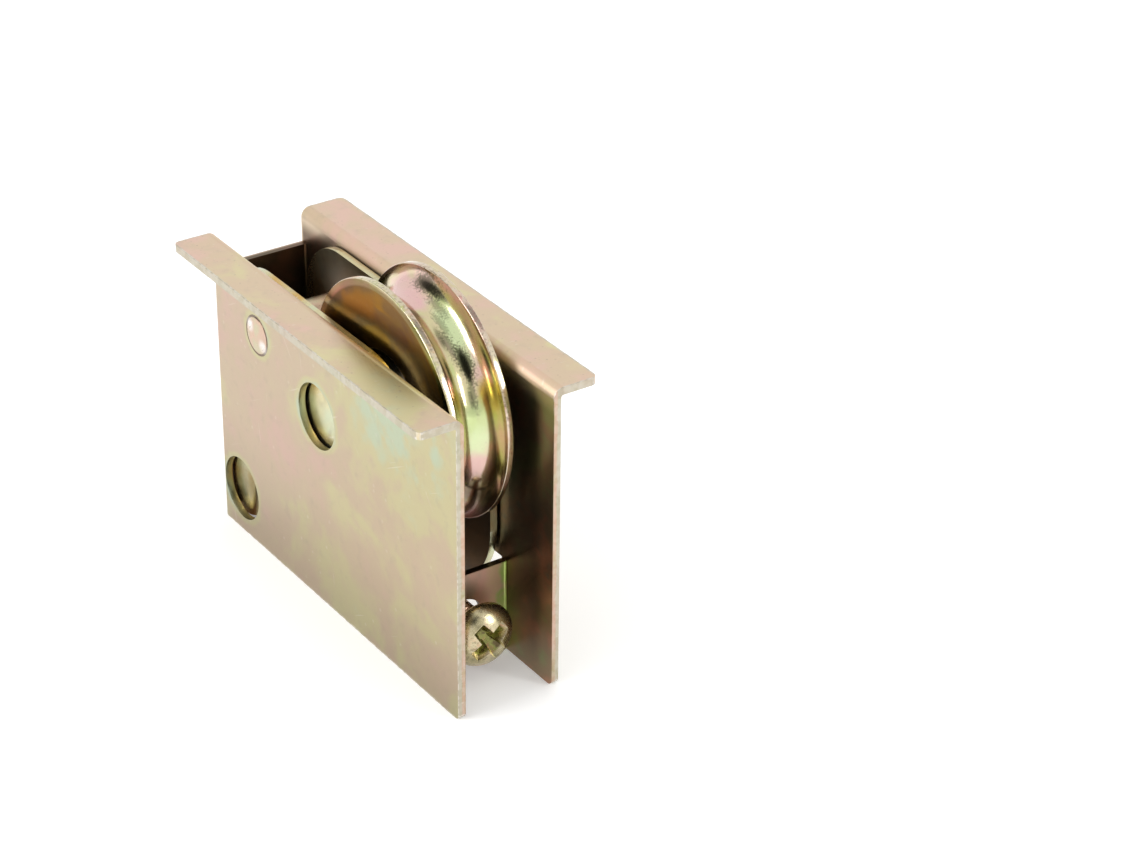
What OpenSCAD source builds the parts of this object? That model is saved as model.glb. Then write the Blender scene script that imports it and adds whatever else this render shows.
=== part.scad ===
// Adjustable sliding door roller: a U-shaped housing with two fixing flanges, a
// carrier that tilts in it on a rivet, a grooved wheel on a ball bearing, and a
// long screw that pulls the carrier's foot to set the wheel's height.
// X runs along the housing, from the closed end to the open end; Y runs across it
// and is zero half-way between the plates; Z is up, towards the wheel.

/* [Housing] */
// Length of the housing
housing_l = 70.4; // [69:0.1:76]
// Width over the two plates
housing_w = 17.4; // [17.2:0.1:20]
// Height, bottom edges to flange tops
housing_h = 50; // [49.6:0.1:54]
// Sheet thickness of the housing and the carrier
sheet_t = 1.2; // [1:0.05:1.25]
// Width of each flange beyond its plate
flange_w = 6.3; // [4:0.1:10]
// Top of the end web
web_top = 44.3; // [30:0.1:46]
// Radius of the two round holes in the near plate
side_hole_r = 5.3; // [4:0.1:5.6]

/* [Adjuster tab] */
// Outer face of the tab, from the closed end
tab_x = 58.2; // [57.8:0.1:59]
// Height of the tab
tab_h = 15.4; // [13:0.1:15.8]
// Radius of the tab's clearance hole
tab_hole_r = 3.3; // [3:0.1:3.6]

/* [Wheel] */
// Radius over the wheel's rims
wheel_r = 19.5; // [18:0.1:20]
// Width over the wheel's rims
wheel_w = 9.9; // [9:0.1:10.2]
// Radius of the round groove
groove_r = 3.95; // [3.9:0.05:4]
// Depth of the groove
groove_depth = 3.8; // [3:0.1:3.9]
// Radius of the opening around the bearing
hub_mouth_r = 8.6; // [8.5:0.1:9.5]

/* [Carrier] */
// Radius of the round end about the pivot
pivot_end_r = 10; // [8:0.1:10]
// Radius of the two corners at the wheel end
corner_r = 12.5; // [10:0.1:13]
// Gap between a cheek and its plate
cheek_gap = 0.35; // [0.3:0.05:0.4]

/* [Adjusting screw] */
// Height of the screw's axis
screw_z = 7.9; // [7.5:0.1:8.2]
// Radius over the thread
screw_r = 2.5; // [2.3:0.05:2.5]
// Underside of the head, from the closed end
head_x = 62.3; // [59:0.1:64]
// Radius of the head
head_r = 5.1; // [4.5:0.1:5.5]

/* [Hidden] */
ball_count = 7;
ball_names = [for (i = [1 : ball_count]) str("ball_", i)];

$fn = 96;
cut = 1;                      // how far a cutting shape passes the face it cuts

// Housing
plate_out = housing_w / 2;
plate_in = plate_out - sheet_t;
bend_in = 0.4;
bend_out = bend_in + sheet_t;
corner = 1.1;                 // rounding of the sheet's free corners
web_foot = 1.6;               // height of the end web's lower edge
upper_hole = [31.4, 32.4];
lower_hole = [6.7, 7.7];
tab_gap = 0.6;                // from the tab's end to the near plate
window_l = 13.5;              // length of the opening that the tab leaves
window_h = tab_h + 0.3;

// Pivot rivet
pivot = [13.9, 38.3];
rivet_r = 3.3;
rivet_play = 0.05;

// Carrier
cheek_out = plate_in - cheek_gap;
cheek_in = cheek_out - sheet_t;
wheel_at = [44.6, 39];
corner_upper = [43.8, pivot[1] + pivot_end_r - corner_r];
corner_lower = [43.8, 20];
leg_x0 = 1.5;
leg_x1 = 7.2;
leg_foot = 2;
leg_top = 22;                 // where the leg's inner edge meets the cheek's lower edge
brace_z0 = 14;
brace_z1 = 27;
lip_top = 13;
lip_slot = 3.2;               // half the width of the slot between the lips

// Bearing, 6 x 17 x 6 mm, and the axle through it
axle_r = 3;
ring_w = 6;
ring_outer_r = 8.5;
ball_r = 1.75;
ball_pitch_r = 5.75;
race_r = 1.8;
inner_land_r = 4.6;
outer_land_r = 6.9;
shield_seat_r = 7.7;
shield_t = 0.3;
shield_in_r = 4.75;
cage_in_r = 5.2;
cage_out_r = 6.3;
cage_half_w = 2.25;
pocket_r = ball_r + 0.08;
pocket_run = 0.5;             // how far a pocket's cutter passes the cage on each side
pocket_l = cage_out_r - cage_in_r + 2 * pocket_run;
fit_gap = 0.02;
spacer_r = 4.4;
bearing_lip_r = 7.8;
bearing_lip_t = 0.8;

// Wheel
dish = 0.35;                  // how far the side face falls from the rim to the hub
dish_r = 18.2;
mouth_round = 0.6;

// Nut and screw
nut_back = 1.95;
nut_front = 5.9;
nut_half_y = cheek_in - 0.25;
nut_half_z = 4.2;
nut_nose_r = 5.5;
thread_play = 0.06;
screw_tip = 1.6;
tip_chamfer = 0.6;
head_h = 3.7;
head_edge_h = 0.9;
slot_w = 1.35;
slot_span = 5.6;
slot_depth = 2.3;

steel_tan = [0.80, 0.72, 0.58];
steel_olive = [0.62, 0.58, 0.42];
steel_pink = [0.82, 0.66, 0.60];
steel_bright = [0.78, 0.78, 0.76];

// Puts a shape that is measured from the closed end into the part's frame.
module from_end() {
    translate([-housing_l / 2, 0, 0]) children();
}

// Extrudes an outline drawn as [x, z] between two values of y.
module side_plate(y0, y1) {
    translate([0, y1, 0]) rotate([90, 0, 0]) linear_extrude(y1 - y0) children();
}

// A cylinder along Y, centred on [x, z], between two values of y.
module cross_pin(at, r, y0, y1) {
    translate([at[0], y1, at[1]]) rotate([90, 0, 0]) cylinder(r = r, h = y1 - y0);
}

// Turns an outline drawn as [radius, y] about the wheel's axis.
module turned_about_axle() {
    translate([wheel_at[0], 0, wheel_at[1]]) rotate([-90, 0, 0]) rotate_extrude() children();
}

// The waste outside a rounded corner at the origin, for a solid in the +x, +y quarter.
module corner_waste(r) {
    difference() {
        translate([-cut, -cut]) square([r + cut, r + cut]);
        translate([r, r]) circle(r = r);
    }
}

// The metal inside a concave corner at the origin, filling the +x, +y quarter.
module corner_fill(r) {
    difference() {
        square([r, r]);
        translate([r, r]) circle(r = r);
    }
}

// Housing ------------------------------------------------------------------

// Cross-section of the far plate and its flange, drawn as [y, z].
module plate_section() {
    difference() {
        union() {
            translate([plate_in, 0]) square([sheet_t, housing_h]);
            translate([plate_in, housing_h - sheet_t]) square([sheet_t + flange_w, sheet_t]);
            translate([plate_out, housing_h - sheet_t]) mirror([0, 1]) corner_fill(bend_in);
        }
        translate([plate_in, housing_h]) mirror([0, 1]) corner_waste(bend_out);
    }
}

// One plate with its flange, with the free corners rounded.
module plate_and_flange() {
    difference() {
        rotate([90, 0, 90]) linear_extrude(housing_l) plate_section();
        side_plate(plate_in - cut, plate_out + cut) corner_waste(corner);
        side_plate(plate_in - cut, plate_out + cut)
            translate([housing_l, 0]) mirror([1, 0]) corner_waste(corner);
        translate([0, plate_out + flange_w, housing_h - sheet_t - cut]) flange_corner();
        translate([housing_l, plate_out + flange_w, housing_h - sheet_t - cut])
            mirror([1, 0, 0]) flange_corner();
    }
}

module flange_corner() {
    mirror([0, 1, 0]) linear_extrude(sheet_t + 2 * cut) corner_waste(corner);
}

// Waste outside the bend between a plate and the end web.
module web_bend_waste() {
    translate([0, plate_out, -cut]) mirror([0, 1, 0]) linear_extrude(web_top + cut) corner_waste(bend_out);
}

module end_web() {
    translate([0, -plate_out, web_foot]) cube([sheet_t, housing_w, web_top - web_foot]);
    for (side = [0, 1]) mirror([0, side, 0])
        translate([sheet_t, plate_in, web_foot]) mirror([0, 1, 0])
            linear_extrude(web_top - web_foot) corner_fill(bend_in);
}

// The ear bent inwards from the far plate, with the screw's clearance hole.
module adjuster_tab() {
    difference() {
        union() {
            translate([tab_x - sheet_t, tab_gap - plate_in, 0])
                cube([sheet_t, housing_w - sheet_t - tab_gap, tab_h]);
            translate([tab_x, plate_in, 0]) mirror([0, 1, 0]) linear_extrude(tab_h) corner_fill(bend_in);
        }
        translate([tab_x - sheet_t - cut, tab_gap - plate_in, tab_h]) rotate([90, 0, 90])
            linear_extrude(sheet_t + 2 * cut) mirror([0, 1]) corner_waste(corner);
        translate([tab_x - sheet_t - cut, 0, screw_z]) rotate([0, 90, 0])
            cylinder(r = tab_hole_r, h = sheet_t + 2 * cut);
    }
}

// Waste outside the bend between the far plate and the tab.
module tab_bend_waste() {
    translate([tab_x - sheet_t, plate_out, -cut]) mirror([0, 1, 0])
        linear_extrude(window_h + cut) corner_waste(bend_out);
}

// The opening that the tab is bent from.
module tab_window() {
    translate([tab_x - sheet_t - window_l, plate_in - cut, -cut])
        cube([window_l, sheet_t + 2 * cut, window_h + cut]);
}

module housing() {
    color(steel_tan) from_end() difference() {
        union() {
            for (side = [0, 1]) mirror([0, side, 0]) plate_and_flange();
            end_web();
            adjuster_tab();
        }
        for (side = [0, 1]) mirror([0, side, 0]) web_bend_waste();
        for (at = [upper_hole, lower_hole])
            cross_pin(at, side_hole_r, -plate_out - cut, -plate_in + cut);
        cross_pin(pivot, rivet_r + fit_gap, -plate_out - cut, plate_out + cut);
        tab_window();
        tab_bend_waste();
    }
}

module pivot_rivet() {
    color(steel_pink) from_end() cross_pin(pivot, rivet_r, -plate_out, plate_out);
}

// Carrier ------------------------------------------------------------------

// Where the lower tangent from a point meets a circle.
function lower_tangent(from, centre, r) =
    let (
        reach = norm(centre - from),
        run = sqrt(reach * reach - r * r),
        angle = atan2(centre[1] - from[1], centre[0] - from[0]) - asin(r / reach)
    )
    from + run * [cos(angle), sin(angle)];

// Outline of a cheek, drawn as [x, z].
module cheek_outline() {
    knee = [leg_x1, leg_top];
    toe = lower_tangent(knee, corner_lower, corner_r);
    translate(pivot) circle(r = pivot_end_r);
    translate(corner_upper) circle(r = corner_r);
    translate(corner_lower) circle(r = corner_r);
    polygon([
        [leg_x0, leg_foot], [leg_x1, leg_foot], knee, toe, corner_lower,
        [corner_lower[0] + corner_r, corner_lower[1]],
        [corner_upper[0] + corner_r, corner_upper[1]],
        corner_upper, [corner_upper[0], corner_upper[1] + corner_r],
        [pivot[0], pivot[1] + pivot_end_r], pivot,
        [pivot[0] - pivot_end_r, pivot[1]], [leg_x0, brace_z1 + 1]
    ]);
}

module cheek() {
    difference() {
        side_plate(cheek_in, cheek_out) cheek_outline();
        cross_pin(pivot, rivet_r + rivet_play, cheek_in - cut, cheek_out + cut);
        cross_pin(wheel_at, axle_r + fit_gap, cheek_in - cut, cheek_out + cut);
    }
}

// The web that joins the two cheeks above the nut.
module brace() {
    translate([leg_x0, -cheek_out, brace_z0]) cube([sheet_t, 2 * cheek_out, brace_z1 - brace_z0]);
    for (side = [0, 1]) mirror([0, side, 0])
        translate([leg_x0 + sheet_t, cheek_in, brace_z0]) mirror([0, 1, 0])
            linear_extrude(brace_z1 - brace_z0) corner_fill(bend_in);
}

module brace_bend_waste() {
    translate([leg_x0, cheek_out, brace_z0]) mirror([0, 1, 0])
        linear_extrude(brace_z1 - brace_z0) corner_waste(bend_out);
}

// The lip that the nut pulls on, bent inwards from a leg's free edge.
module lip() {
    height = lip_top - leg_foot;
    translate([leg_x1 - sheet_t, lip_slot, leg_foot]) cube([sheet_t, cheek_out - lip_slot, height]);
    translate([leg_x1 - sheet_t, cheek_in, leg_foot]) mirror([1, 0, 0]) mirror([0, 1, 0])
        linear_extrude(height) corner_fill(bend_in);
}

module lip_bend_waste() {
    translate([leg_x1, cheek_out, leg_foot - cut]) mirror([1, 0, 0]) mirror([0, 1, 0])
        linear_extrude(lip_top - leg_foot + cut) corner_waste(bend_out);
}

module carrier() {
    color(steel_olive) from_end() difference() {
        union() {
            for (side = [0, 1]) mirror([0, side, 0]) {
                cheek();
                lip();
            }
            brace();
        }
        for (side = [0, 1]) mirror([0, side, 0]) {
            brace_bend_waste();
            lip_bend_waste();
        }
    }
}

// Axle and spacers ---------------------------------------------------------

module wheel_axle() {
    color(steel_bright) from_end() cross_pin(wheel_at, axle_r, -cheek_out, cheek_out);
}

module axle_spacer_far() {
    color(steel_bright) from_end() turned_about_axle() translate([axle_r + fit_gap, ring_w / 2])
        square([spacer_r - axle_r - fit_gap, cheek_in - ring_w / 2]);
}

module axle_spacer_near() {
    mirror([0, 1, 0]) axle_spacer_far();
}

// Wheel --------------------------------------------------------------------

// Section of the wheel's far half, drawn as [radius, y], with y from 0 at the joint.
module wheel_half_section() {
    half_w = wheel_w / 2;
    difference() {
        polygon([
            [ring_outer_r + fit_gap, 0], [wheel_r, 0], [wheel_r, half_w], [dish_r, half_w],
            [hub_mouth_r + mouth_round, half_w - dish],
            [hub_mouth_r, half_w - dish - mouth_round],
            [hub_mouth_r, ring_w / 2 + bearing_lip_t], [bearing_lip_r, ring_w / 2 + bearing_lip_t],
            [bearing_lip_r, ring_w / 2], [ring_outer_r + fit_gap, ring_w / 2]
        ]);
        translate([wheel_r + groove_r - groove_depth, 0]) circle(r = groove_r);
    }
}

module wheel_half_far() {
    color(steel_olive) from_end() turned_about_axle() wheel_half_section();
}

module wheel_half_near() {
    mirror([0, 1, 0]) wheel_half_far();
}

// Bearing ------------------------------------------------------------------

module bearing_outer_ring() {
    color(steel_bright) from_end() turned_about_axle() difference() {
        translate([outer_land_r, -ring_w / 2]) square([ring_outer_r - outer_land_r, ring_w]);
        translate([ball_pitch_r, 0]) circle(r = race_r);
        for (side = [0, 1]) mirror([0, side]) translate([outer_land_r - cut, ring_w / 2 - shield_t])
            square([shield_seat_r + cut - outer_land_r, shield_t + cut]);
    }
}

module bearing_inner_ring() {
    color(steel_bright) from_end() turned_about_axle() difference() {
        translate([axle_r + fit_gap, -ring_w / 2]) square([inner_land_r - axle_r - fit_gap, ring_w]);
        translate([ball_pitch_r, 0]) circle(r = race_r);
    }
}

module bearing_shield_far() {
    color(steel_bright) from_end() turned_about_axle()
        translate([shield_in_r, ring_w / 2 - shield_t]) square([shield_seat_r - shield_in_r, shield_t]);
}

module bearing_shield_near() {
    mirror([0, 1, 0]) bearing_shield_far();
}

// Turns a shape that points along +X from the wheel's axis to the direction of one ball.
module towards_ball(i) {
    translate([wheel_at[0], 0, wheel_at[1]]) rotate([0, 360 * (i - 0.5) / ball_count, 0]) children();
}

module ball(i) {
    color(steel_bright) from_end() towards_ball(i) translate([ball_pitch_r, 0, 0]) sphere(r = ball_r);
}

module ball_cage_far() {
    color(steel_olive) from_end() difference() {
        turned_about_axle() translate([cage_in_r, 0]) square([cage_out_r - cage_in_r, cage_half_w]);
        for (i = [1 : ball_count]) towards_ball(i) translate([cage_in_r - pocket_run, 0, 0])
            rotate([0, 90, 0]) rotate([0, 0, 45]) cylinder(r = pocket_r, h = pocket_l);
    }
}

module ball_cage_near() {
    mirror([0, 1, 0]) ball_cage_far();
}

// Nut and screw ------------------------------------------------------------

module screw_nut() {
    color(steel_olive) from_end() difference() {
        intersection() {
            translate([nut_back, -nut_half_y, screw_z - nut_half_z])
                cube([nut_front - nut_back, 2 * nut_half_y, 2 * nut_half_z]);
            cross_pin([nut_front - nut_nose_r, screw_z], nut_nose_r, -nut_half_y - cut, nut_half_y + cut);
        }
        translate([nut_back - cut, 0, screw_z]) rotate([0, 90, 0])
            cylinder(r = screw_r + thread_play, h = nut_front - nut_back + 2 * cut);
    }
}

// Half-section of the pan head, drawn as [radius, height above its underside].
module head_section() {
    dome_h = head_h - head_edge_h;
    dome_r = (head_r * head_r + dome_h * dome_h) / (2 * dome_h);
    square([head_r, head_edge_h]);
    intersection() {
        translate([0, head_edge_h]) square([head_r, dome_h]);
        translate([0, head_h - dome_r]) circle(r = dome_r);
    }
}

// One arm of the cross recess, drawn as [across, height] and cut right across the head.
module cross_slot() {
    rotate([90, 0, 0]) linear_extrude(slot_w, center = true) polygon([
        [-slot_span / 2, head_h + cut], [slot_span / 2, head_h + cut],
        [slot_span / 2, head_h - slot_depth / 2], [0, head_h - slot_depth],
        [-slot_span / 2, head_h - slot_depth / 2]
    ]);
}

module adjusting_screw() {
    shank_l = head_x - screw_tip;
    color(steel_olive) from_end() translate([head_x, 0, screw_z]) rotate([0, 90, 0]) {
        difference() {
            rotate_extrude() head_section();
            for (turn = [0, 90]) rotate([0, 0, turn + 35]) cross_slot();
        }
        rotate([180, 0, 0]) rotate_extrude() polygon([
            [0, 0], [screw_r, 0], [screw_r, shank_l - tip_chamfer],
            [screw_r - tip_chamfer, shank_l], [0, shank_l]
        ]);
    }
}

housing();
pivot_rivet();
carrier();
wheel_axle();
axle_spacer_near();
axle_spacer_far();
wheel_half_near();
wheel_half_far();
bearing_outer_ring();
bearing_inner_ring();
bearing_shield_near();
bearing_shield_far();
ball_cage_near();
ball_cage_far();
screw_nut();
adjusting_screw();
for (i = [1 : ball_count]) {
    ball(i);
}
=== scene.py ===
"""Looks of the adjustable sliding door roller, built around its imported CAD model.

Lengths are written in millimetres and multiplied by MM. X runs along the housing to
its open end, Y across it to the plate with the adjuster tab, and Z up to the wheel.
"""

import math

import bmesh
import bpy
from mathutils import Matrix, Vector


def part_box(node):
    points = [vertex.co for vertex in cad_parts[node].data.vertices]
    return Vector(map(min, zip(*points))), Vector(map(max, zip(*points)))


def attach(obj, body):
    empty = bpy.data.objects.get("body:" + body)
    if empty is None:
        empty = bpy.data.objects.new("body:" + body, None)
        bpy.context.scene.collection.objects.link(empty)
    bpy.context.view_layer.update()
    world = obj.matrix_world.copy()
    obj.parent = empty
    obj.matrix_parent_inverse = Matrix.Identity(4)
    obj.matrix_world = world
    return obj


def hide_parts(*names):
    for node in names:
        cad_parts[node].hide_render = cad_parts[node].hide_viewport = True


MM = 0.001

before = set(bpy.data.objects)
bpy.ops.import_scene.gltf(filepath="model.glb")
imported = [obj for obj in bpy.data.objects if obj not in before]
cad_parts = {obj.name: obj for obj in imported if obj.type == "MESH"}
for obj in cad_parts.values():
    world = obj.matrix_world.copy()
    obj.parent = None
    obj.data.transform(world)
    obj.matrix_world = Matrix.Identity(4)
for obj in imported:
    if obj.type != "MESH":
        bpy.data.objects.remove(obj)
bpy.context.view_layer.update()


def middle(node):
    low, high = (Vector(corner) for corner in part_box(node))
    return (low + high) / 2


AXLE = middle("wheel_axle")
PIVOT = middle("pivot_rivet")
SCREW_LOW, SCREW_HIGH = (Vector(corner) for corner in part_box("adjusting_screw"))
SCREW_AXIS = middle("adjusting_screw")
PLATE_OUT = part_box("pivot_rivet")[1][1]
HALF_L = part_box("housing")[1][0]
HALF_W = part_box("housing")[1][1]
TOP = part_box("housing")[1][2]
WHEEL_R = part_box("wheel_half_far")[1][2] - AXLE.z
WHEEL_HALF_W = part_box("wheel_half_far")[1][1]


# Sizes the materials and the pieces share, in mm --------------------------

AXLE_AT = (AXLE.x / MM, AXLE.z / MM)
PIVOT_AT = (PIVOT.x / MM, PIVOT.z / MM)
OPEN_END = HALF_L / MM
FLANGE_EDGE = HALF_W / MM
FLANGE_TOP = TOP / MM
SHEET_T = 1.2
SHEET_EDGE_ROUND = 0.14
PLATE_FACE = PLATE_OUT / MM
PLATE_MID = PLATE_FACE - SHEET_T / 2
PLATE_IN = PLATE_FACE - SHEET_T
CHEEK_IN = 5.95
TAB_FACE = 23.0
TAB_TOP = 15.4
SIDE_HOLES = [(-3.8, 32.4), (-28.5, 7.7)]
SIDE_HOLE_R = 5.3
RIM_R = WHEEL_R / MM
RIM_HALF_W = WHEEL_HALF_W / MM

# Pivot rivet: staked ends, each with two chisel marks.
RIVET_R = 3.3
STAKE_H = 0.16
SEAM_R = 3.02
SEAM_DEPTH = 0.10
SEAM_HALF_W = 0.12
CHISEL_AT = 2.2
CHISEL_DEPTH = 0.30
CHISEL_HALF_W = 0.32
CHISEL_HALF_L = 0.85
CHISEL_ANGLE = math.radians(-32)

# Adjusting screw: M5 thread, pan head and cross recess. Heights run along +X from the
# underside of the head.
THREAD_R = 2.5
THREAD_DEPTH = 0.45
PITCH = 0.8
HEAD_X = 27.1
HEAD_R = 5.1
HEAD_H = SCREW_HIGH.x / MM - HEAD_X
HEAD_EDGE_H = 0.9
HEAD_EDGE_ROUND = 0.35
DOME_FALL = 0.085
RECESS_TURN = math.radians(35)
RECESS_EDGE_ROUND = 0.16
# Each ring of the recess: height, half the span of an arm, half its width.
RECESS_RINGS = [
    (HEAD_H + 0.6, 4.30, 1.50),
    (HEAD_H - 0.6, 3.35, 1.02),
    (HEAD_H - 2.7, 0.95, 0.50),
]

# Wheel halves, turned about the axle: rims, deep round groove, dished side and hub mouth.
GROOVE_R = 3.95
GROOVE_DEPTH = 3.8
EDGE_ROUND = 0.16
HUB_MOUTH_R = 8.6
MOUTH_ROUND = 0.6
DISH_R = 18.2
DISH_RIM_W = 0.3
DISH_END_R = 9.6
DISH = 0.35
DISH_STEP = 0.012
SEAT_R = 8.52
LIP_R = 7.8
LIP_Y = 3.8
RING_HALF_W = 3.0


# Camera, light and floor ---------------------------------------------------

CAMERA_AT = Vector((341.36, -202.94, 255.62)) * MM
CAMERA_AZIMUTH = math.radians(55.15)
CAMERA_ELEVATION = math.radians(29.66)
CAMERA_ROLL = math.radians(0.76)
CAMERA_LENS = 96.0
CAMERA_CLIP = 10 * MM

# Each softbox: direction from the wheel, width and height in mm, and power in W.
SOFTBOXES = {
    "front_softbox": ((-0.14, -0.85, 0.48), (420, 160), 2.4),
    "right_softbox": ((0.785, 0.497, 0.37), (110, 360), 1.3),
}
SOFTBOX_DISTANCE = 750 * MM

TENT_STRENGTH = 0.98
TENT_WHITE = (1.0, 0.995, 0.985, 1)
# Each gap: direction, inner and outer half-angle in degrees, and how dark it is.
DARK_GAPS = [
    ((0.63, -0.30, 0.71), 11, 20, 0.95),
    ((-0.71, -0.62, 0.32), 9, 17, 0.90),
    ((0.97, 0.02, 0.25), 5, 13, 0.55),
    ((0.05, 0.50, 0.87), 6, 16, 0.55),
]

FLOOR_HALF = 3000 * MM
FLOOR_DROP = 0.02 * MM
FLOOR_GREY = (0.90, 0.90, 0.90, 1)
FLOOR_GLOW = 0.27


def add_camera():
    forward = Vector((
        -math.sin(CAMERA_AZIMUTH) * math.cos(CAMERA_ELEVATION),
        math.cos(CAMERA_AZIMUTH) * math.cos(CAMERA_ELEVATION),
        -math.sin(CAMERA_ELEVATION),
    ))
    level = forward.cross(Vector((0, 0, 1))).normalized()
    upright = level.cross(forward)
    right = level * math.cos(CAMERA_ROLL) + upright * math.sin(CAMERA_ROLL)
    up = upright * math.cos(CAMERA_ROLL) - level * math.sin(CAMERA_ROLL)
    data = bpy.data.cameras.new("camera")
    data.lens = CAMERA_LENS
    data.clip_start = CAMERA_CLIP
    camera = bpy.data.objects.new("camera", data)
    bpy.context.collection.objects.link(camera)
    rotation = Matrix((right, up, -forward)).transposed().to_4x4()
    camera.matrix_world = Matrix.Translation(CAMERA_AT) @ rotation
    bpy.context.scene.camera = camera


def add_softboxes():
    """Soft area lights, all aimed at the wheel."""
    for name, (towards, size, watts) in SOFTBOXES.items():
        data = bpy.data.lights.new(name, "AREA")
        data.shape = "RECTANGLE"
        data.size = size[0] * MM
        data.size_y = size[1] * MM
        data.energy = watts
        light = bpy.data.objects.new(name, data)
        bpy.context.collection.objects.link(light)
        direction = Vector(towards).normalized()
        light.location = AXLE + direction * SOFTBOX_DISTANCE
        light.rotation_euler = direction.to_track_quat("Z", "Y").to_euler()


def add_world():
    """A white tent with soft dark gaps, which the plating mirrors as its dark bands."""
    world = bpy.data.worlds.new("tent")
    world.use_nodes = True
    bpy.context.scene.world = world
    nodes, links = world.node_tree.nodes, world.node_tree.links
    nodes.clear()
    place = nodes.new("ShaderNodeTexCoord")
    background = nodes.new("ShaderNodeBackground")
    output = nodes.new("ShaderNodeOutputWorld")
    strength = None
    for towards, inner, outer, depth in DARK_GAPS:
        along = nodes.new("ShaderNodeVectorMath")
        along.operation = "DOT_PRODUCT"
        along.inputs[1].default_value = Vector(towards).normalized()
        links.new(place.outputs["Generated"], along.inputs[0])
        gap = nodes.new("ShaderNodeMapRange")
        gap.interpolation_type = "SMOOTHSTEP"
        gap.inputs["From Min"].default_value = math.cos(math.radians(outer))
        gap.inputs["From Max"].default_value = math.cos(math.radians(inner))
        gap.inputs["To Min"].default_value = 1.0
        gap.inputs["To Max"].default_value = 1.0 - depth
        links.new(along.outputs["Value"], gap.inputs["Value"])
        dimmed = nodes.new("ShaderNodeMath")
        dimmed.operation = "MULTIPLY"
        dimmed.inputs[0].default_value = TENT_STRENGTH
        if strength:
            links.new(strength, dimmed.inputs[0])
        links.new(gap.outputs["Result"], dimmed.inputs[1])
        strength = dimmed.outputs[0]
    links.new(strength, background.inputs["Strength"])
    background.inputs["Color"].default_value = TENT_WHITE
    links.new(background.outputs[0], output.inputs["Surface"])


def add_floor():
    half = FLOOR_HALF
    mesh = bpy.data.meshes.new("floor")
    corners = [(-half, -half, 0), (half, -half, 0), (half, half, 0), (-half, half, 0)]
    mesh.from_pydata(corners, [], [(0, 1, 2, 3)])
    floor = bpy.data.objects.new("floor", mesh)
    bpy.context.collection.objects.link(floor)
    floor.location.z = -FLOOR_DROP
    material = bpy.data.materials.new("pale_floor")
    material.use_nodes = True
    shader = material.node_tree.nodes["Principled BSDF"]
    shader.inputs["Base Color"].default_value = FLOOR_GREY
    shader.inputs["Roughness"].default_value = 0.9
    shader.inputs["Specular IOR Level"].default_value = 0.1
    shader.inputs["Emission Color"].default_value = (1, 1, 1, 1)
    shader.inputs["Emission Strength"].default_value = FLOOR_GLOW
    mesh.materials.append(material)


# Material building ---------------------------------------------------------


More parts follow.
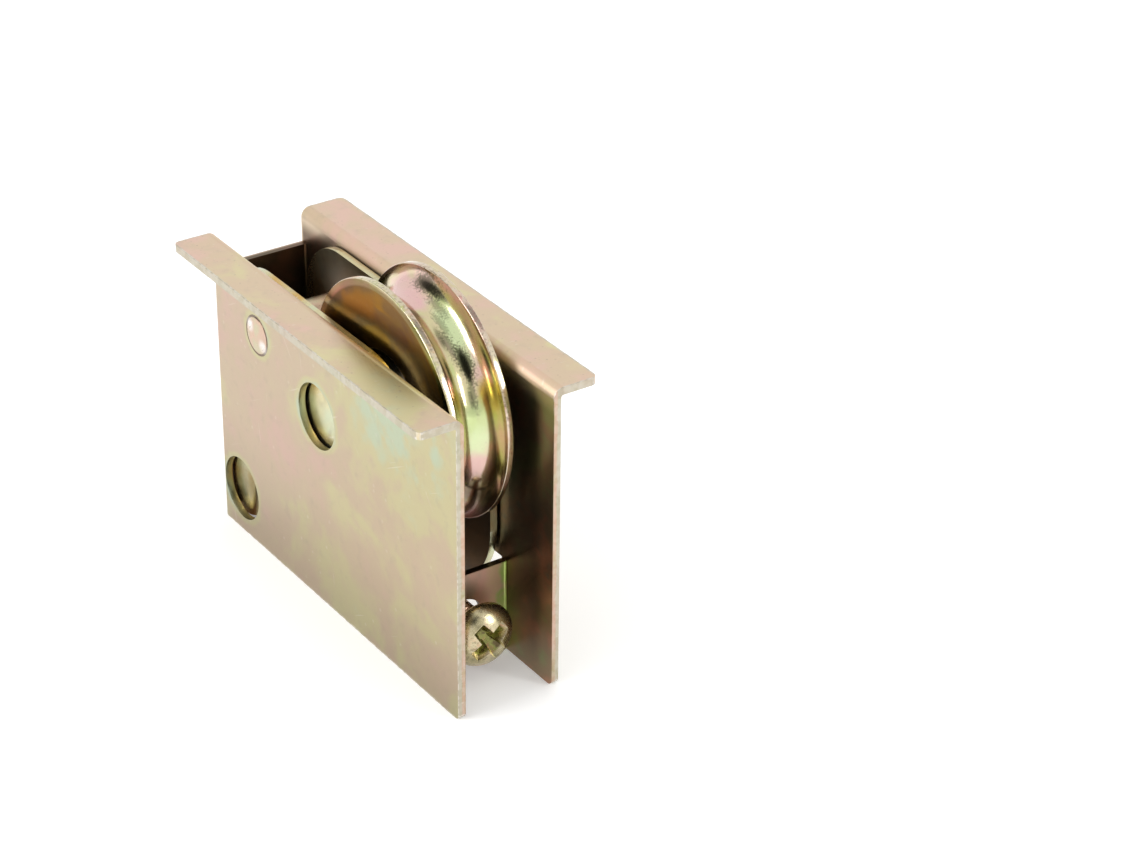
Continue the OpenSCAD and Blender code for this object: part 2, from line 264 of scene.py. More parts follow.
class Recipe:
    """One procedural metal, put together from small steps.

    Lengths in it are in mm. x, y and z are the place on the part, radius, angle and
    degrees the place about the wheel's axle, with the angle counted from the open end.
    """

    def __init__(self, name):
        self.material = bpy.data.materials.new(name)
        self.material.use_nodes = True
        self.nodes = self.material.node_tree.nodes
        self.links = self.material.node_tree.links
        self.shader = self.nodes["Principled BSDF"]
        place = self.nodes.new("ShaderNodeTexCoord")
        self.at = self.vector("MULTIPLY", place.outputs["Object"], (1000, 1000, 1000))
        parts = self.nodes.new("ShaderNodeSeparateXYZ")
        self.links.new(self.at, parts.inputs[0])
        self.x, self.y, self.z = parts.outputs
        dx = self.plus(self.x, -AXLE_AT[0])
        dz = self.plus(self.z, -AXLE_AT[1])
        self.radius = self.length(dx, dz)
        self.angle = self.math("ARCTAN2", dz, dx)
        self.degrees = self.times(self.angle, 180 / math.pi)

    def put(self, socket, value):
        if isinstance(value, bpy.types.NodeSocket):
            self.links.new(value, socket)
        elif isinstance(value, tuple) and socket.type == "RGBA" and len(value) == 3:
            socket.default_value = (*value, 1)
        else:
            socket.default_value = value

    def vector(self, operation, a, b):
        node = self.nodes.new("ShaderNodeVectorMath")
        node.operation = operation
        self.put(node.inputs[0], a)
        self.put(node.inputs[1], b)
        return node.outputs[0]

    def math(self, operation, a, b=0.0):
        node = self.nodes.new("ShaderNodeMath")
        node.operation = operation
        self.put(node.inputs[0], a)
        self.put(node.inputs[1], b)
        return node.outputs[0]

    def plus(self, a, b):
        return self.math("ADD", a, b)

    def times(self, a, b):
        return self.math("MULTIPLY", a, b)

    def product(self, first, *others):
        for other in others:
            first = self.times(first, other)
        return first

    def most(self, first, *others):
        for other in others:
            first = self.math("MAXIMUM", first, other)
        return first

    def least(self, first, *others):
        for other in others:
            first = self.math("MINIMUM", first, other)
        return first

    def size_of(self, value):
        return self.math("ABSOLUTE", value)

    def length(self, a, b):
        return self.math("SQRT", self.plus(self.times(a, a), self.times(b, b)))

    def swing(self, noise, gain):
        """Noise moved to swing about zero, times a gain."""
        return self.times(self.plus(noise, -0.5), gain)

    def smooth(self, value, start, end, low=0.0, high=1.0):
        """Goes softly from low to high as value goes from start to end."""
        node = self.nodes.new("ShaderNodeMapRange")
        node.interpolation_type = "SMOOTHSTEP"
        if start > end:
            start, end, low, high = end, start, high, low
        node.inputs["From Min"].default_value = start
        node.inputs["From Max"].default_value = end
        node.inputs["To Min"].default_value = low
        node.inputs["To Max"].default_value = high
        self.put(node.inputs["Value"], value)
        return node.outputs["Result"]

    def noise(self, scale, detail=3.0, stretch=None, offset=(0, 0, 0), distort=0.0):
        """Noise whose blotches are about 1/scale mm across."""
        return self.noise_at(self.at, scale, detail, stretch, offset, distort)

    def noise_at(self, place, scale, detail, stretch=None, offset=(0, 0, 0), distort=0.0):
        at = self.vector("ADD", place, offset)
        if stretch:
            at = self.vector("MULTIPLY", at, stretch)
        node = self.nodes.new("ShaderNodeTexNoise")
        node.inputs["Scale"].default_value = scale
        node.inputs["Detail"].default_value = detail
        node.inputs["Distortion"].default_value = distort
        self.links.new(at, node.inputs["Vector"])
        return node.outputs["Fac"]

    def turned_noise(self, along, across, offset=0.0):
        """Noise in polar form about the wheel's axle: blotches along the ring and across it."""
        join = self.nodes.new("ShaderNodeCombineXYZ")
        self.put(join.inputs[0], self.times(self.math("COSINE", self.angle), along))
        self.put(join.inputs[1], self.times(self.math("SINE", self.angle), along))
        outwards = self.times(self.plus(self.radius, self.y), across)
        self.put(join.inputs[2], self.plus(outwards, offset))
        node = self.nodes.new("ShaderNodeTexNoise")
        node.inputs["Scale"].default_value = 1.0
        node.inputs["Detail"].default_value = 2.0
        self.links.new(join.outputs[0], node.inputs["Vector"])
        return node.outputs["Fac"]

    def specks(self, scale, share, offset=(0, 0, 0)):
        """Small round dots, one in about each 1/scale mm, kept on a share of the cells."""
        at = self.vector("ADD", self.at, offset)
        node = self.nodes.new("ShaderNodeTexVoronoi")
        node.inputs["Scale"].default_value = scale
        self.links.new(at, node.inputs["Vector"])
        pick = self.nodes.new("ShaderNodeSeparateColor")
        self.links.new(node.outputs["Color"], pick.inputs[0])
        dot = self.smooth(node.outputs["Distance"], 0.34, 0.16)
        kept = self.math("LESS_THAN", pick.outputs[0], share)
        return self.times(dot, self.times(kept, pick.outputs[1]))

    def away_from(self, point, flatten=1.0):
        """Distance from a point [x, z]. Flatten makes the rings about it lower than wide."""
        dx = self.plus(self.x, -point[0])
        dz = self.times(self.plus(self.z, -point[1]), flatten)
        return self.length(dx, dz)

    def near(self, point, reach, flatten=1.0):
        """1 at a point [x, z], falling softly to 0 at its reach."""
        return self.smooth(self.away_from(point, flatten), reach, 0.0)

    def ring(self, point, radius, width):
        """1 inside a circle about [x, z], falling softly to 0 at a width outside it."""
        return self.smooth(self.away_from(point), radius + width, radius)

    def patch(self, a, b, centre, reach, warp):
        """1 at a centre in two measures, falling softly and unevenly to 0 at its reach."""
        da = self.times(self.plus(a, -centre[0]), 1 / reach[0])
        db = self.times(self.plus(b, -centre[1]), 1 / reach[1])
        return self.smooth(self.plus(self.length(da, db), warp), 1.0, 0.35)

    def ramp(self, value, stops):
        node = self.nodes.new("ShaderNodeValToRGB")
        node.color_ramp.interpolation = "EASE"
        elements = node.color_ramp.elements
        while len(elements) < len(stops):
            elements.new(0.5)
        for element, (position, colour) in zip(elements, stops):
            element.position = position
            element.color = (*colour, 1)
        self.put(node.inputs[0], value)
        return node.outputs[0]

    def mix(self, share, a, b, blend="MIX"):
        node = self.nodes.new("ShaderNodeMix")
        node.data_type = "RGBA"
        node.blend_type = blend
        self.put(node.inputs["Factor"], share)
        self.put(node.inputs[6], a)
        self.put(node.inputs[7], b)
        return node.outputs[2]

    def bump(self, height, depth):
        node = self.nodes.new("ShaderNodeBump")
        node.inputs["Distance"].default_value = depth * MM
        node.inputs["Strength"].default_value = 1.0
        self.put(node.inputs["Height"], height)
        self.links.new(node.outputs[0], self.shader.inputs["Normal"])

    def finish(self, colour, roughness):
        self.put(self.shader.inputs["Base Color"], colour)
        self.put(self.shader.inputs["Roughness"], roughness)
        self.shader.inputs["Metallic"].default_value = 1.0
        return self.material


# Film colours --------------------------------------------------------------

# Yellow chromate over zinc, as reflectances, from a thin film to a thick one.
MINT = (0.59, 0.66, 0.475)
CREAM = (0.67, 0.605, 0.355)
TAN = (0.66, 0.525, 0.375)
PINK = (0.715, 0.51, 0.42)
GOLD = (0.62, 0.40, 0.12)
LIME = (0.55, 0.64, 0.25)
OLIVE = (0.34, 0.31, 0.18)
ROSE = (0.72, 0.38, 0.36)

# Rubbed and soiled places, and painted shade, light, highlights and reflections.
WORN = (0.60, 0.57, 0.52)
BARE_SCRATCH = (0.86, 0.84, 0.80)
GRIME = (0.45, 0.38, 0.30)
DARK_SPECK = (0.34, 0.26, 0.20)
DEEP_SHADE = (0.05, 0.04, 0.03)
ROLLED_CUT = (0.47, 0.45, 0.35)
BROKEN_CUT = (0.62, 0.38, 0.28)
CHEEK_GRIME = (0.33, 0.28, 0.20)
CHEEK_FOOT_SHADE = (0.24, 0.22, 0.14)
CHEEK_INSIDE_SHADE = (0.30, 0.25, 0.14)
CHEEK_SHADE = (0.07, 0.045, 0.03)
CHEEK_PAINTED_LIGHT = (0.80, 0.62, 0.55)
DARK_FILM_AND_REFLECTION = (0.10, 0.10, 0.05)
DISC_GOLD_HIGHLIGHT = (0.60, 0.30, 0.05)
DISC_DUST = (0.62, 0.52, 0.42)
RIM_RUB_AND_HIGHLIGHT = (0.72, 0.63, 0.50)
RIM_PIT = (0.26, 0.20, 0.14)
DUST = (0.88, 0.82, 0.72)
PIT = (0.24, 0.20, 0.15)
SEAM_DIRT = (0.13, 0.09, 0.06)
CHISEL_FLASH = (0.88, 0.86, 0.84)
SCREW_DIRT = (0.22, 0.18, 0.11)
SHANK_PINK = (0.66, 0.40, 0.30)

# Ramps: place on the ramp and colour.
SHEET_FILM = [(0.10, MINT), (0.36, CREAM), (0.58, TAN), (0.82, PINK)]
CUT_FILM = [(0.30, (0.34, 0.31, 0.16)), (0.48, (0.50, 0.39, 0.24)), (0.66, (0.54, 0.36, 0.26))]
# Painted shade between the plates, in darker film colours.
INSIDE_SHADE_FILM = [
    (0.30, (0.24, 0.25, 0.11)), (0.48, (0.28, 0.19, 0.11)),
    (0.62, (0.40, 0.20, 0.12)), (0.75, (0.20, 0.18, 0.13)),
]
TAB_FILM = [
    (0.05, (0.70, 0.54, 0.42)), (0.30, (0.92, 0.60, 0.48)),
    (0.55, (0.92, 0.68, 0.44)), (0.72, (0.60, 0.78, 0.24)),
]
CARRIER_FILM = [(0.05, MINT), (0.35, CREAM), (0.55, GOLD), (0.80, ROSE)]
GROOVE_FILM = [(0.05, ROSE), (0.30, PINK), (0.55, CREAM), (0.85, LIME)]
DISC_FILM = [(0.15, (0.30, 0.19, 0.13)), (0.5, (0.38, 0.25, 0.11)), (0.8, (0.58, 0.34, 0.06))]
RIVET_FILM = [(0.30, (0.56, 0.50, 0.34)), (0.5, (0.62, 0.44, 0.33)), (0.7, (0.60, 0.42, 0.36))]
SCREW_FILM = [
    (0.30, OLIVE), (0.45, (0.50, 0.44, 0.26)),
    (0.58, (0.60, 0.52, 0.34)), (0.72, (0.60, 0.38, 0.24)),
]
RECESS_SHADE_FILM = [(0.35, (0.12, 0.09, 0.04)), (0.50, (0.26, 0.27, 0.08)), (0.65, (0.34, 0.22, 0.10))]

# Film in the groove, the last patch painted shade where the groove runs down between the plates:
# colour, angle and y of its middle, and how far it reaches in each.
GROOVE_PATCHES = [
    ((0.79, 0.50, 0.50), (106, 0.8), (36, 5.2)),
    ((0.62, 0.36, 0.31), (62, -2.6), (40, 2.6)),
    ((0.62, 0.74, 0.42), (62, 2.2), (26, 2.0)),
    ((0.86, 0.45, 0.43), (36, -2.6), (13, 1.6)),
    ((0.50, 0.38, 0.06), (22, 3.0), (12, 1.5)),
    ((0.50, 0.60, 0.28), (10, 0.8), (18, 3.4)),
    ((0.62, 0.70, 0.42), (-1, 1.2), (12, 3.2)),
    ((0.68, 0.45, 0.42), (-18, 0.4), (14, 3.4)),
    # Painted shade: the groove dark low down between the plates.
    ((0.24, 0.15, 0.09), (-40, 0.0), (17, 4.8)),
]
# The dark streak along the groove, partly thick film and partly painted reflection of dark
# surroundings: angle and y, reach in each, and strength.
GROOVE_DARK_FILM_AND_REFLECTION = [
    ((92, 3.2), (15, 1.2), 0.8),
    ((77, 2.3), (14, 0.8), 0.5),
    ((66, 1.2), (13, 0.8), 0.45),
    ((55, 0.6), (13, 0.9), 0.6),
    ((42, 1.6), (14, 1.2), 0.85),
    ((27, 1.3), (12, 0.7), 0.6),
]
# Scratches: their turn in the plate's plane, in radians, and the noise's stretch.
SCRATCH_SETS = [
    (0.5, (0.10, 1, 3.0)),
    (-0.9, (0.08, 1, 2.4)),
    (1.7, (0.14, 1, 3.4)),
]
# Bare bearing steel: lit and shaded colour, roughness and fineness of the turning marks.
STEELS = {
    "ground_ring": ((0.70, 0.70, 0.70), (0.55, 0.55, 0.56), 0.16, 6.0),
    "pressed_shield": ((0.62, 0.62, 0.60), (0.46, 0.46, 0.46), 0.26, 2.5),
    "cage_strip": ((0.58, 0.57, 0.54), (0.40, 0.39, 0.37), 0.30, 4.0),
    "polished_ball": ((0.82, 0.82, 0.83), (0.74, 0.74, 0.76), 0.05, 1.0),
}


# Materials -----------------------------------------------------------------


def scratches(r, offset):
    """Faint straight scratches in three directions."""
    lines = []
    for turn, stretch in SCRATCH_SETS:
        turned = r.nodes.new("ShaderNodeVectorRotate")
        turned.rotation_type = "Y_AXIS"
        turned.inputs["Angle"].default_value = turn
        r.links.new(r.at, turned.inputs["Vector"])
        fibres = r.noise_at(turned.outputs[0], 0.8, 1.0, stretch, offset)
        lines.append(r.smooth(fibres, 0.73, 0.79))
    return r.most(*lines)


def sheet_film(r, clouds, small_clouds, top):
    """Plating of the housing, with halos round the near plate's holes and the rivet."""
    film = r.plus(0.60, r.swing(clouds, 1.05))
    film = r.plus(film, r.swing(small_clouds, 0.30))
    film = r.plus(film, r.times(r.smooth(r.x, -14, 26), -0.15))
    broken = r.smooth(r.noise(0.13, 4.0, offset=(2, 8, 5)), 0.36, 0.60, 0.25, 1.0)
    film = r.plus(film, r.product(r.near((21, 41), 30, 1.9), broken, -0.48))
    near_side = r.smooth(r.y, 0, -1)
    for hole in SIDE_HOLES:
        film = r.plus(film, r.product(r.ring(hole, SIDE_HOLE_R, 1.6), near_side, -0.30))
    film = r.plus(film, r.times(r.ring(PIVOT_AT, RIVET_R + 0.1, 1.4), -0.28))
    film = r.plus(film, r.times(top, r.smooth(r.x, -30, 30, 0.0, 0.18)))
    colour = r.ramp(film, SHEET_FILM)
    grime = r.smooth(r.noise(0.5, 4.0, offset=(9, 9, 9)), 0.52, 0.78, 0.0, 0.22)
    return r.mix(grime, colour, GRIME)


def cut_face_film(r, small_clouds):
    """The sheet's cut faces: a grey rolled part outside, a salmon broken part inside."""
    across = r.plus(r.size_of(r.y), r.swing(small_clouds, 0.35))
    colour = r.ramp(r.noise(0.28, 3.0, offset=(12, 3, 5)), CUT_FILM)
    rolled = r.smooth(across, PLATE_MID - 0.02, PLATE_MID + 0.10)
    colour = r.mix(r.times(rolled, 0.75), colour, ROLLED_CUT)
    broken = r.smooth(across, PLATE_MID + 0.02, PLATE_MID - 0.08)
    broken = r.times(broken, r.smooth(small_clouds, 0.30, 0.50))
    return r.mix(r.times(broken, 0.7), colour, BROKEN_CUT)


def sheet_wear(r, edge, cut_face, outside):
    """Plating rubbed off along the edges and torn on the cut faces."""
    ragged = r.plus(edge, r.times(r.plus(r.noise(1.6, 4.0), -0.60), 0.8))
    rubbed = r.times(r.smooth(ragged, 0.30, 0.0), outside)
    rubbed = r.times(rubbed, r.plus(0.6, r.times(cut_face, -0.5)))
    torn = r.noise(0.8, 4.0, stretch=(1, 1, 0.35), offset=(3, 8, 1))
    torn = r.smooth(torn, 0.46, 0.70, 0.0, 0.7)
    return r.most(rubbed, r.product(cut_face, torn, 0.6))


def corner_line(r, edge, outside):
    """A thin, broken, bright line along the outer corners."""
    corner = r.times(r.smooth(edge, 0.24, 0.08), r.smooth(edge, -0.02, 0.05))
    broken = r.smooth(r.noise(0.9, 4.0, offset=(6, 2, 9)), 0.42, 0.56)
    return r.product(corner, broken, outside)


def shade_inside(r, colour, inside):
    """Painted shade on the faces between the plates, in darker film colours, darkest away from
    the open end.
    """
    below_top = r.smooth(r.z, FLANGE_TOP - 1.8, FLANGE_TOP - 4.5)
    hidden = r.product(inside, below_top, r.smooth(r.x, 0.1 - OPEN_END, 0.6 - OPEN_END))
    inside_shade = r.ramp(r.noise(0.16, 3.0, offset=(7, 0, 40)), INSIDE_SHADE_FILM)
    colour = r.mix(r.times(hidden, 0.88), colour, inside_shade)
    deep = r.smooth(r.x, OPEN_END - 2.0, OPEN_END - 5.2)
    deep = r.product(hidden, r.smooth(r.z, -3, 10), deep)
    return r.mix(r.times(deep, 0.62), colour, DEEP_SHADE)


def tab_face(r, inside):
    """1 on the outer face of the adjuster tab."""
    after = r.smooth(r.x, TAB_FACE - 0.2, TAB_FACE - 0.05)
    before = r.smooth(r.x, TAB_FACE + 0.3, TAB_FACE + 0.15)
    return r.product(after, before, inside, r.smooth(r.z, TAB_TOP + 0.2, TAB_TOP + 0.1))


def sheet_material():
    r = Recipe("chromate_sheet")
    clouds = r.noise(0.075, 3.0, offset=(31, 7, 12), distort=0.6)
    small_clouds = r.noise(0.33, 3.0, offset=(4, 60, 2))
    across = r.size_of(r.y)
    top = r.smooth(r.z, FLANGE_TOP - 2.5, FLANGE_TOP - 0.3)
    outside = r.most(r.math("GREATER_THAN", across, PLATE_FACE - 0.15), r.smooth(r.x, -1, 1))
    inside = r.smooth(across, PLATE_IN + 0.12, PLATE_IN)
    on_tab = tab_face(r, inside)
    from_end = r.plus(OPEN_END, r.times(r.size_of(r.x), -1))
    from_rim = r.plus(FLANGE_EDGE, r.times(across, -1))
    edge = r.least(from_end, from_rim, r.z)
    cut_face = r.times(r.math("LESS_THAN", edge, 0.12), outside)

    # Painted shade and light: the plates darker towards the bottom, the flange tops lighter and
    # the cut faces darker.
    shade = r.plus(r.smooth(r.z, -4, 22, 0.55, 0.79), r.times(top, 0.30))
    shade = r.times(shade, r.plus(1.0, r.times(cut_face, -0.36)))
    colour = r.mix(1.0, sheet_film(r, clouds, small_clouds, top), shade, "MULTIPLY")
    colour = r.mix(r.times(cut_face, 0.85), colour, cut_face_film(r, small_clouds))
    nicks = r.specks(0.9, 0.07, offset=(2, 3, 4))
    marks = r.most(r.times(scratches(r, (0, 0, 0)), 0.20), r.times(nicks, 0.12))
    colour = r.mix(marks, colour, BARE_SCRATCH)
    colour = r.mix(r.times(r.specks(1.7, 0.16), 0.35), colour, DARK_SPECK)
    worn = sheet_wear(r, edge, cut_face, outside)
    colour = r.mix(r.times(worn, 0.8), colour, WORN)
    colour = r.mix(r.times(corner_line(r, edge, outside), 0.6), colour, BARE_SCRATCH)
    colour = shade_inside(r, colour, inside)
    tab_tint = r.plus(r.times(r.y, 0.10), r.swing(small_clouds, 0.5))
    colour = r.mix(r.times(on_tab, 0.9), colour, r.ramp(tab_tint, TAB_FILM))

    fine = r.noise(9.0, 2.0)
    height = r.plus(r.times(r.noise(2.2, 3.0), 0.7), r.times(fine, 0.3))
    r.bump(r.plus(height, r.times(marks, -0.4)), 0.012)
    bend = r.smooth(across, PLATE_FACE + 0.7, PLATE_FACE + 0.2)
    bend = r.times(bend, r.smooth(r.z, FLANGE_TOP - 2.0, FLANGE_TOP - SHEET_T))
    roughness = r.plus(r.smooth(clouds, 0.3, 0.7, 0.27, 0.36), r.times(fine, 0.06))
    roughness = r.plus(roughness, r.times(worn, 0.10))
    roughness = r.plus(roughness, r.plus(r.times(bend, 0.22), r.times(on_tab, 0.18)))
    return r.finish(colour, roughness)


def carrier_material():
    r = Recipe("chromate_carrier")
    clouds = r.noise(0.11, 3.0, offset=(3, 40, 15), distort=0.8)
    film = r.plus(0.30, r.swing(clouds, 1.1))
    film = r.plus(film, r.times(r.near((PIVOT_AT[0] - 3, 36), 10), 0.40))
    colour = r.ramp(film, CARRIER_FILM)
    colour = r.mix(r.times(scratches(r, (5, 5, 5)), 0.4), colour, BARE_SCRATCH)
    grime = r.smooth(r.noise(0.6, 4.0), 0.48, 0.75, 0.0, 0.35)
    colour = r.mix(grime, colour, CHEEK_GRIME)
    # Painted shade on the cheek's foot, deep inside the housing behind the lower hole.
    lower_hole = SIDE_HOLES[1]
    colour = r.mix(r.times(r.near(lower_hole, 8.5), 0.75), colour, CHEEK_FOOT_SHADE)
    # Painted shade on the cheeks' inner faces, between the cheeks.
    inside = r.smooth(r.size_of(r.y), CHEEK_IN + 0.07, CHEEK_IN)
    colour = r.mix(r.times(inside, 0.45), colour, CHEEK_INSIDE_SHADE)
    under_wheel = r.times(r.smooth(r.z, 34, 26), r.smooth(r.x, -12, -4))
    colour = r.mix(r.product(inside, under_wheel, 0.85), colour, CHEEK_SHADE)
    # Painted light: a pale pink patch on the inner face near the pivot, where the plating is also
    # rougher.
    painted_light_patch = r.times(inside, r.near((-19, 40), 13))
    colour = r.mix(r.times(painted_light_patch, 0.8), colour, CHEEK_PAINTED_LIGHT)
    fine = r.noise(7.0, 3.0)
    r.bump(fine, 0.010)
    return r.finish(colour, r.plus(r.plus(0.20, r.times(painted_light_patch, 0.35)), r.times(fine, 0.10)))


def groove_film(r, thickness, warp):
    """Film of the groove and the rims: drifting bands, placed patches with the last one painted
    shade, and a dark streak that is partly thick film and partly painted reflection.
    """
    colour = r.ramp(thickness, GROOVE_FILM)
    for shade, centre, reach in GROOVE_PATCHES:
        patch = r.patch(r.degrees, r.y, centre, reach, warp)
        colour = r.mix(r.times(patch, 0.85), colour, shade)
    grain = r.swing(r.noise(3.2, 4.0, offset=(2, 7, 4)), 1.6)
    # The dark streak: partly thick film, partly painted reflection of dark surroundings.
    for centre, reach, strength in GROOVE_DARK_FILM_AND_REFLECTION:
        film_and_reflection_streak = r.patch(r.degrees, r.y, centre, reach, r.plus(warp, grain))
        colour = r.mix(r.times(film_and_reflection_streak, strength), colour, DARK_FILM_AND_REFLECTION)
    return colour


def disc_film(r, thickness, warp):
    """Film of the wheel's side faces, with a painted golden highlight streak and pale dust."""
    colour = r.ramp(thickness, DISC_FILM)
    # Painted highlight: a golden streak on the side face.
    gold_highlight = r.patch(r.degrees, r.radius, (118, 15.5), (30, 3.0), warp)
    colour = r.mix(r.times(gold_highlight, 0.8), colour, DISC_GOLD_HIGHLIGHT)
    dust = r.specks(3.0, 0.3, offset=(3, 9, 2))
    return r.mix(r.times(dust, 0.4), colour, DISC_DUST)


def wheel_material():
    r = Recipe("chromate_wheel")
    bands = r.turned_noise(1.5, 0.33, offset=3.0)
    blots = r.turned_noise(2.6, 0.12, offset=11.0)
    thickness = r.plus(r.plus(r.swing(bands, 1.5), r.swing(blots, 0.9)), 0.5)
    warp = r.swing(r.noise(0.35, 3.0, offset=(5, 1, 3)), 0.9)
    side = r.smooth(r.size_of(r.y), RIM_HALF_W - 0.75, RIM_HALF_W - 0.3)
    disc = r.times(side, r.smooth(r.radius, DISH_R + 0.4, DISH_R - 0.1))
    colour = r.mix(disc, groove_film(r, thickness, warp), disc_film(r, thickness, warp))
    # Painted highlight along the rim's rounded edge, broken up like rubbed plating.
    rim = r.smooth(r.radius, RIM_R - 0.30, RIM_R - 0.12)
    rubbed = r.smooth(r.noise(1.2, 4.0), 0.36, 0.56)
    colour = r.mix(r.times(rim, r.times(rubbed, 0.75)), colour, RIM_RUB_AND_HIGHLIGHT)
    pitted = r.smooth(r.noise(2.6, 3.0, offset=(8, 8, 1)), 0.54, 0.66)
    colour = r.mix(r.product(rim, pitted, 0.6), colour, RIM_PIT)
    pits = r.specks(2.6, 0.22)
    colour = r.mix(r.times(r.specks(3.4, 0.12, offset=(1, 5, 9)), 0.35), colour, DUST)
    colour = r.mix(r.times(pits, 0.35), colour, PIT)
    fine = r.noise(6.0, 3.0)
    height = r.plus(r.times(r.turned_noise(0.4, 9.0), 0.35), r.times(fine, 0.5))
    r.bump(r.plus(height, r.times(pits, -0.5)), 0.006)
    roughness = r.plus(0.11, r.times(r.smooth(fine, 0.35, 0.65), 0.06))
    return r.finish(colour, r.plus(roughness, r.times(disc, 0.09)))


def rivet_material():
    r = Recipe("chromate_rivet")
    colour = r.ramp(r.noise(0.3, 3.0), RIVET_FILM)
    end = r.smooth(r.size_of(r.y), PLATE_FACE - 0.3, PLATE_FACE - 0.1)
    seam = r.times(r.smooth(r.ring(PIVOT_AT, SEAM_R - 0.16, 0.14), 0.9, 0.1), end)
    colour = r.mix(r.times(seam, 0.85), colour, SEAM_DIRT)
    for side in (1, -1):
        mark = (
            PIVOT_AT[0] + side * CHISEL_AT * math.cos(CHISEL_ANGLE),
            PIVOT_AT[1] + side * CHISEL_AT * math.sin(CHISEL_ANGLE),
        )
        colour = r.mix(r.times(r.near(mark, 1.5), end), colour, CHISEL_FLASH)
    fine = r.noise(5.0, 3.0)
    r.bump(fine, 0.012)
    return r.finish(colour, r.plus(0.24, r.times(fine, 0.10)))


def screw_material():
    r = Recipe("chromate_screw")
    colour = r.ramp(r.noise(0.45, 3.0, offset=(8, 2, 5)), SCREW_FILM)
    dirt = r.smooth(r.noise(1.8, 4.0), 0.50, 0.70, 0.0, 0.6)
    colour = r.mix(dirt, colour, SCREW_DIRT)
    up = r.plus(r.z, -SCREW_AXIS.z / MM)
    off_axis = r.plus(r.times(r.y, r.y), r.times(up, up))
    dome = r.plus(SCREW_HIGH.x / MM, r.times(off_axis, -DOME_FALL))
    sunk = r.smooth(r.plus(dome, r.times(r.x, -1)), 0.25, 0.7)
    in_head = r.smooth(r.x, HEAD_X, HEAD_X + 0.4)
    recess = r.product(sunk, r.smooth(off_axis, 18, 14), in_head)
    # Painted shade: a near-black film inside the cross recess.
    recess_shade_film = r.ramp(r.noise(0.7, 2.0, offset=(1, 4, 6)), RECESS_SHADE_FILM)
    colour = r.mix(r.times(recess, 0.95), colour, recess_shade_film)
    on_shank = r.smooth(r.x, HEAD_X, HEAD_X - 0.3)
    colour = r.mix(r.times(on_shank, 0.6), colour, SHANK_PINK)
    fine = r.noise(6.0, 3.0)
    r.bump(fine, 0.012)
    return r.finish(colour, r.plus(0.20, r.times(fine, 0.12)))


def steel_material(name):
    """Bare bearing steel: ground rings, pressed shields, cage strip or polished balls."""
    lit, shaded, roughness, fineness = STEELS[name]
    r = Recipe(name)
    turning = r.turned_noise(0.5, fineness)
    colour = r.mix(r.smooth(r.noise(0.5, 3.0), 0.35, 0.7), lit, shaded)
    r.bump(turning, 0.003)
    return r.finish(colour, r.plus(roughness, r.times(turning, 0.06)))


# Pieces --------------------------------------------------------------------


def new_object(name, mesh, material, body):
    piece = bpy.data.objects.new(name, mesh)
    bpy.context.collection.objects.link(piece)
    mesh.materials.append(material)
    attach(piece, body)
    return piece


def shade_by_angle(piece, degrees):
    """Smooth shading, with edges sharper than the angle kept crisp."""
    for polygon in piece.data.polygons:
        polygon.use_smooth = True
    limit = math.radians(degrees)
    mesh = bmesh.new()
    mesh.from_mesh(piece.data)
    for edge in mesh.edges:
        edge.smooth = edge.is_boundary or edge.calc_face_angle(0) < limit
    mesh.to_mesh(piece.data)
    mesh.free()


def make_normals_point_out(piece):
    mesh = bmesh.new()
    mesh.from_mesh(piece.data)
    bmesh.ops.recalc_face_normals(mesh, faces=mesh.faces)
    mesh.to_mesh(piece.data)
    mesh.free()


def turns(columns):
    """Angles of evenly spaced columns round a circle."""
    return [2 * math.pi * column / columns for column in range(columns)]


def grid_faces(rows, columns):
    """Faces of a grid of points that closes on itself round its columns."""
    faces = []
    for row in range(rows - 1):
        for column in range(columns):
            after = (column + 1) % columns
            faces.append((
                row * columns + column, row * columns + after,
                (row + 1) * columns + after, (row + 1) * columns + column,
            ))
    return faces


def mesh_from(name, points, faces, centre=(0, 0, 0)):
    """A mesh of points in mm, moved to a centre in metres."""
    mesh = bpy.data.meshes.new(name)
    mesh.from_pydata([Vector(point) * MM + Vector(centre) for point in points], [], faces)
    mesh.update()
    return mesh


def soften_edges(node):
    """Rounds a CAD node's crisp edges a little, as pressing and plating leave them."""
    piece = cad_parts[node]
    weld = piece.modifiers.new("weld", "WELD")
    weld.merge_threshold = 0.002 * MM
    bevel = piece.modifiers.new("soft_edges", "BEVEL")
    bevel.width = SHEET_EDGE_ROUND * MM
    bevel.segments = 2
    bevel.limit_method = "ANGLE"
    bevel.angle_limit = math.radians(40)
    bevel.harden_normals = True
    bevel.use_clamp_overlap = True


def staked_height(radius, angle):
    """How far the rivet's end stands proud of the plate, in mm."""
    share = radius / RIVET_R
    dome = STAKE_H * (1 - share ** 6)
    seam = -SEAM_DEPTH * math.exp(-((radius - SEAM_R) / SEAM_HALF_W) ** 2)
    marks = 0.0
    for side in (0, math.pi):
        across = radius * math.cos(angle - CHISEL_ANGLE - side) - CHISEL_AT
        along = radius * math.sin(angle - CHISEL_ANGLE - side)
        marks += math.exp(-(across / CHISEL_HALF_W) ** 2 - (along / CHISEL_HALF_L) ** 4)
    return dome + seam - CHISEL_DEPTH * marks


